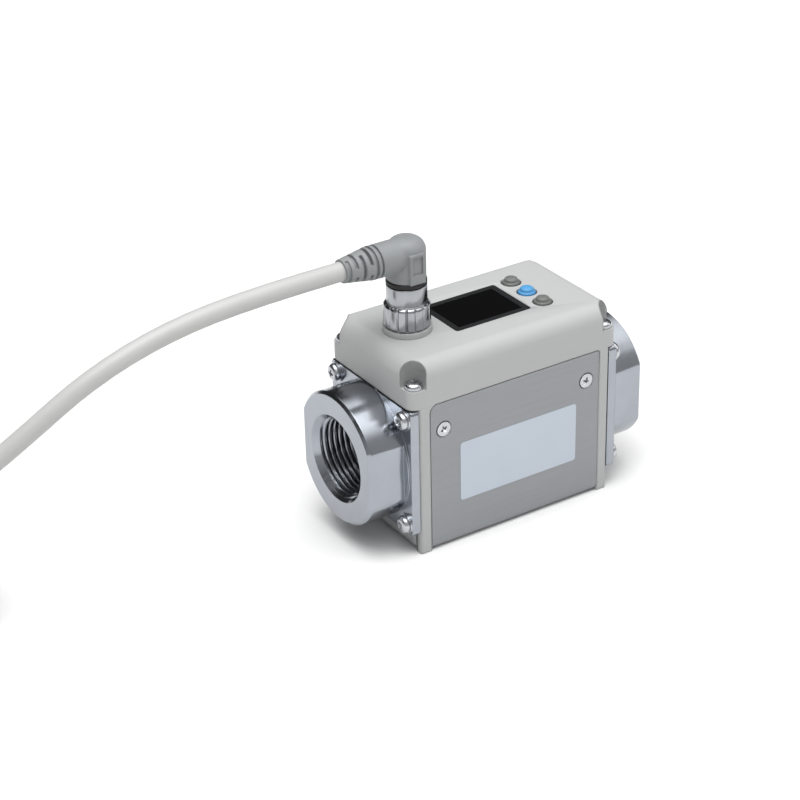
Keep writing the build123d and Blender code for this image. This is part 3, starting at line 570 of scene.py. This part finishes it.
def framed_pad():
    """Raised pad facing -Y with an oblong recess, as one closed form."""
    outer = oblong(pad_half, pad_foot, pad_top, pad_cut)
    face = [(plug_x + (x - plug_x) * face_share, z) for x, z in outer]
    hole = oblong(recess_half, recess_foot, recess_top, recess_cut)
    rings = [(outer, pad_back), (outer, pad_front + pad_edge), (face, pad_front), (hole, pad_front),
             (hole, recess_floor)]
    verts = [(x, y, z) for ring, y in rings for x, z in ring]
    sides = [(k * 6 + i, k * 6 + (i + 1) % 6, (k + 1) * 6 + (i + 1) % 6, (k + 1) * 6 + i)
             for k in range(4) for i in range(6)]
    return verts, [*sides, tuple(range(6)), tuple(range(24, 30))]


verts, faces = lathe(arm_rings, full_turn(96))
arm = ([(x, y * arm_widens, z + arm_height) for x, y, z in verts], faces)
parts = [on_end(turned(body_profile, 96), plug_x), arm, framed_pad()]
mesh = build_mesh("plug_elbow", parts, elbow_grey, 40)
elbow = add("moulded_elbow", mesh, "meter", "elbow_grey", "plug_elbow")

# Socket: its flange shows as a pale ring under the nut.
# The solid's own shape, in the housing's plastic.
paint(moulded, "connector_socket")

# Screws: bright plated machine screws with crossed recesses. One of each kind is turned and its
# recess cut, and a small node group then repeats it over its places.
steel, shader, place = material("screw_metal", Metallic=1.0)
connect(shader, Roughness=place.noise(1600, 3) * 0.2 + 0.17,
        Base_Color=place.noise(400, 3).blend((0.42, 0.435, 0.46, 1), (0.56, 0.57, 0.59, 1)))
relief(place, shader, place.noise(2600, 2), 0.000006, 0.00008)

above_face, top_half, floor_half, floor_share = 0.5, 0.42, 0.22, 0.35


def cross(face, span, deep):
    """Cutter of two crossed wedges that narrow towards the bottom of the recess."""
    verts, faces = [], []
    for crosswise in (False, True):
        first = len(verts)
        for height, half, width in ((face + above_face, span, top_half),
                                    (face - deep, span * floor_share, floor_half)):
            for x, y in ((-half, -width), (half, -width), (half, width), (-half, width)):
                verts.append((-y, x, height) if crosswise else (x, y, height))
        for side in ((3, 2, 1, 0), (4, 5, 6, 7), (0, 1, 5, 4), (1, 2, 6, 5), (2, 3, 7, 6),
                     (3, 0, 4, 7)):
            faces.append(tuple(first + i for i in side))
    return verts, faces


def screw(name, profile, face, span, deep):
    """A turned screw along +Z with a crossed recess cut into its face."""
    blank = build_mesh(name, [on_end(turned(profile, 48))], steel, 40, unit=1)
    mesh = carve(blank, build_mesh("cutter", [cross(face, span, deep)], steel, 40, unit=1))
    mesh.set_sharp_from_angle(angle=radians(38))
    return in_scene(name, mesh)


def repeat(name, source, places):
    """Realized copies of source at places, each (point in mm, direction it faces), as one mesh.

    Each copy is spun by an amount of its own, so that the recesses don't line up.
    """
    points = bpy.data.meshes.new(name)
    points.from_pydata([tuple(c * mm for c in point) for point, facing in places], [], [])
    turns = points.attributes.new("turn", "FLOAT_VECTOR", "POINT")
    for entry, (point, facing) in zip(turns.data, places):
        spin = Matrix.Rotation(0.4 + 1.7 * len(name) * (1 + sum(point)), 4, "Z")
        upwards = Vector(facing).to_track_quat("Z", "Y").to_matrix().to_4x4()
        entry.vector = (upwards @ spin).to_euler()
    tree = bpy.data.node_groups.get("copies")
    if tree is None:
        tree = bpy.data.node_groups.new("copies", "GeometryNodeTree")
        for label, kind in (("Geometry", "NodeSocketGeometry"), ("Source", "NodeSocketObject"),
                            ("Finish", "NodeSocketMaterial")):
            tree.interface.new_socket(label, in_out="INPUT", socket_type=kind)
        tree.interface.new_socket("Geometry", in_out="OUTPUT", socket_type="NodeSocketGeometry")
        nodes = {key: tree.nodes.new(kind) for key, kind in (
            ("given", "NodeGroupInput"), ("result", "NodeGroupOutput"),
            ("info", "GeometryNodeObjectInfo"), ("turn", "GeometryNodeInputNamedAttribute"),
            ("place", "GeometryNodeInstanceOnPoints"), ("real", "GeometryNodeRealizeInstances"),
            ("finish", "GeometryNodeSetMaterial"))}
        nodes["turn"].data_type = "FLOAT_VECTOR"
        nodes["turn"].inputs["Name"].default_value = "turn"
        for start, out, end, into in (
            ("given", "Geometry", "place", "Points"), ("given", "Source", "info", "Object"),
            ("info", "Geometry", "place", "Instance"), ("turn", "Attribute", "place", "Rotation"),
            ("place", "Instances", "real", "Geometry"), ("real", "Geometry", "finish", "Geometry"),
            ("given", "Finish", "finish", "Material"), ("finish", "Geometry", "result", "Geometry"),
        ):
            tree.links.new(nodes[start].outputs[out], nodes[end].inputs[into])
    holder = in_scene(name, points)
    modifier = holder.modifiers.new("copies", "NODES")
    modifier.node_group = tree
    sockets = {item.name: item.identifier for item in tree.interface.items_tree
               if item.in_out == "INPUT"}
    modifier[sockets["Source"]] = source
    modifier[sockets["Finish"]] = steel
    mesh = applied(holder)
    mesh.materials.clear()
    mesh.materials.append(steel)
    return mesh


pan = screw("pan_screw", [(-6, 0), (-6, 1.3), (-5.7, 1.5), (0, 1.5), (0, 2.75), (0.15, 2.85),
                          (0.9, 2.82), (1.4, 2.6), (1.75, 2.2), (1.95, 1.6), (2.0, 0.9), (2.0, 0)],
            2.0, 1.55, 1.3)
flat = screw("flat_screw", [(-6.5, 0), (-6.5, 1.3), (-6.2, 1.5), (-1.2, 1.5), (-0.55, 2.2),
                            (-0.12, 2.4), (-0.03, 2.36), (0.0, 2.25), (0.0, 0)],
             0.0, 1.5, 1.0)
pocket_floor, washer_face, sheet_face = 56.5, 39.0, 22.5
flange_y, flange_low, flange_high, sheet_x, sheet_height = 19, 10.5, 46.5, 26.7, 41.2
spots = [((x, y, pocket_floor), (0, 0, 1))
         for x in (-pocket_x, pocket_x) for y in (-pocket_y, pocket_y)]
add("corner_screws", repeat("corner_screws", pan, spots), "meter", "steel", "cover_screws")
for word, side in (("left", -1), ("right", 1)):
    spots = [((side * washer_face, y, z), (side, 0, 0))
             for y in (-flange_y, flange_y) for z in (flange_low, flange_high)]
    add(f"flange_screws_{word}", repeat(f"flange_screws_{word}", pan, spots), "meter", "steel",
        f"port_screws_{word}")
spots = [((x, side * sheet_face, sheet_height), (0, side, 0))
         for x in (-sheet_x, sheet_x) for side in (-1, 1)]
add("sheet_screws", repeat("sheet_screws", flat, spots), "meter", "steel", "shield_screws")
for source in (pan, flat):
    bpy.data.objects.remove(source)
paint(steel, "port_washers_left", "port_washers_right", "electrodes")

# Keys: soft rubber caps with a flared skirt, a narrow ledge and a domed top, the middle one blue.
# All are turned to one profile, and each rides on the body that slides.
keys_x, keys_apart = 19.9, 8.4
key_profile = [(61.45, 0), (61.45, 3.55), (62.2, 3.55), (62.2, 2.82), (64.9, 2.82), (65.1, 2.8),
               (65.3, 2.7), (65.45, 2.56), (65.52, 2.42), (65.56, 2.3), (65.66, 2.22), (65.9, 2.18),
               (66.25, 2.1), (66.5, 1.85), (66.66, 1.5), (66.75, 1.0), (66.79, 0.5), (66.8, 0)]
grey = ((0.105, 0.11, 0.105, 1), (0.15, 0.155, 0.15, 1))
blue = ((0.05, 0.22, 0.46, 1), (0.08, 0.30, 0.56, 1))
for word, y, slot, (low, high) in (
    ("up", keys_apart, "key_grey", grey),
    ("set", 0.0, "key_blue", blue),
    ("down", -keys_apart, "key_grey", grey),
):
    name = f"key_{word}"
    cap, shader, place = material(name, Specular_IOR_Level=0.4)
    connect(shader, Base_Color=place.noise(500, 3).blend(low, high),
            Roughness=place.noise(1200, 2) * 0.2 + 0.35)
    relief(place, shader, place.noise(3000, 3), 0.00003, 0.0002)
    mesh = build_mesh(name, [on_end(turned(key_profile, 64), keys_x, y)], cap, 50)
    add(name, mesh, name, slot, f"button_{word}")

# Inside pieces, which show only when the meter is opened: dark plastic, the tube's liner, plated
# iron, copper windings, boards, brass and the display. They keep the solids' own shapes.
dark, shader, place = material("moulded_dark")
connect(shader, Roughness=place.noise(800, 2) * 0.15 + 0.4,
        Base_Color=place.noise(80, 3).blend((0.03, 0.03, 0.032, 1), (0.05, 0.05, 0.053, 1)))
relief(place, shader, place.noise(3000, 2), 0.00002, 0.0003)
paint(dark, "tact_switches", "socket_insert", "plug_insert", "cable_tie")

liner, shader, place = material("liner")
connect(shader, Roughness=place.noise(500, 2) * 0.15 + 0.3,
        Base_Color=place.noise(60, 3).blend((0.26, 0.24, 0.20, 1), (0.33, 0.31, 0.27, 1)))
relief(place, shader, place.noise(2000, 2), 0.00001, 0.0002)
paint(liner, "measuring_tube")
paint(plated, "magnet_yoke", "pole_cores", "socket_nut")

# Copper windings: the colour follows the turns' relief, with painted shade darkening the grooves
# between turns and painted light brightening the turns' tops.
copper, shader, place = material("copper_wire", Metallic=0.8)
turns_and_painted_shade = place.node("ShaderNodeTexWave", {"Vector": place, "Scale": 900.0, "Distortion": 0.2},
                      out=1, bands_direction="Z")
connect(shader, Roughness=turns_and_painted_shade * 0.1 + 0.25,
        Base_Color=turns_and_painted_shade.blend((0.25, 0.07, 0.02, 1), (0.62, 0.24, 0.09, 1)))
relief(place, shader, turns_and_painted_shade, 0.00008, 0.0002)
paint(copper, "field_coils")

board, shader, place = material("board", Coat_Weight=0.4)
tracks = place.node("ShaderNodeTexBrick", {"Vector": place, "Scale": 420.0}, out=1)
connect(shader, Roughness=tracks * 0.1 + 0.3,
        Base_Color=tracks.blend((0.01, 0.11, 0.045, 1), (0.03, 0.2, 0.08, 1)))
relief(place, shader, tracks, 0.00002, 0.0001)
paint(board, "signal_board", "display_board")

brass, shader, place = material("brass", Metallic=1.0)
connect(shader, Roughness=place.noise(900, 2) * 0.15 + 0.2,
        Base_Color=place.noise(300, 2).blend((0.62, 0.43, 0.16, 1), (0.74, 0.54, 0.24, 1)))
relief(place, shader, place.noise(2000, 2), 0.000005, 0.0001)
paint(brass, "board_spacers", "socket_pins")

display, shader, place = material("display")
connect(shader, Roughness=place.noise(900, 1) * 0.1 + 0.15,
        Base_Color=place.noise(200, 1).blend((0.05, 0.055, 0.05, 1), (0.08, 0.085, 0.08, 1)))
paint(display, "lcd_module")

# Floor: plain pale matt sheet a hair below the meter, wide enough to fill every view.
# It is part of the stage and not of the meter.
edge, below = 6, -0.0002
matt, shader, place = material("floor", Roughness=0.9)
connect(shader, Base_Color=place.noise(3, 2).blend((0.76, 0.76, 0.76, 1), (0.78, 0.78, 0.78, 1)))
mesh = bpy.data.meshes.new("floor")
corners = [(x, y, below) for x, y in ((-edge, -edge), (edge, -edge), (edge, edge), (-edge, edge))]
mesh.from_pydata(corners, [], [(0, 1, 2, 3)])
mesh.materials.append(matt)
floor = in_scene("floor", mesh)

# Light: a room that is dim round the horizon, bright overhead and a little lifted at the front,
# with a large soft light above and to the left and a weaker one at the right. The dim band is
# what the window and the bright metal mirror.
world = bpy.data.worlds.new("room")
bpy.context.scene.world = world
world.use_nodes = True
tree = world.node_tree
ray = Wire(tree, tree.nodes.new("ShaderNodeTexCoord").outputs["Generated"])
overhead = {"Value": ray.axis("Z"), "From Min": 0.6, "From Max": 0.95,
            "To Min": 0.03, "To Max": 2.6}
front = {"Value": ray.axis("Y"), "From Min": 0.1, "From Max": -0.5,
         "To Min": 0.0, "To Max": 0.45}
bands = [ray.node("ShaderNodeMapRange", band, interpolation_type="SMOOTHSTEP")
         for band in (overhead, front)]
tree.nodes["Background"].inputs["Color"].default_value = (1, 1, 1, 1)
tree.links.new((bands[0] + bands[1]).out, tree.nodes["Background"].inputs["Strength"])
aim = Vector((0, 0, 0.03))
for name, spot, size, power in (("key", (-0.3, -0.15, 1.45), 0.9, 11),
                                ("fill", (1.1, -0.5, 0.7), 0.6, 2)):
    light = bpy.data.lights.new(name, "AREA")
    light.size = size
    light.energy = power
    lamp = in_scene(name, light)
    lamp.location = spot
    lamp.rotation_mode = "QUATERNION"
    lamp.rotation_quaternion = (Vector(spot) - aim).to_track_quat("Z", "Y")

bpy.context.view_layer.update()
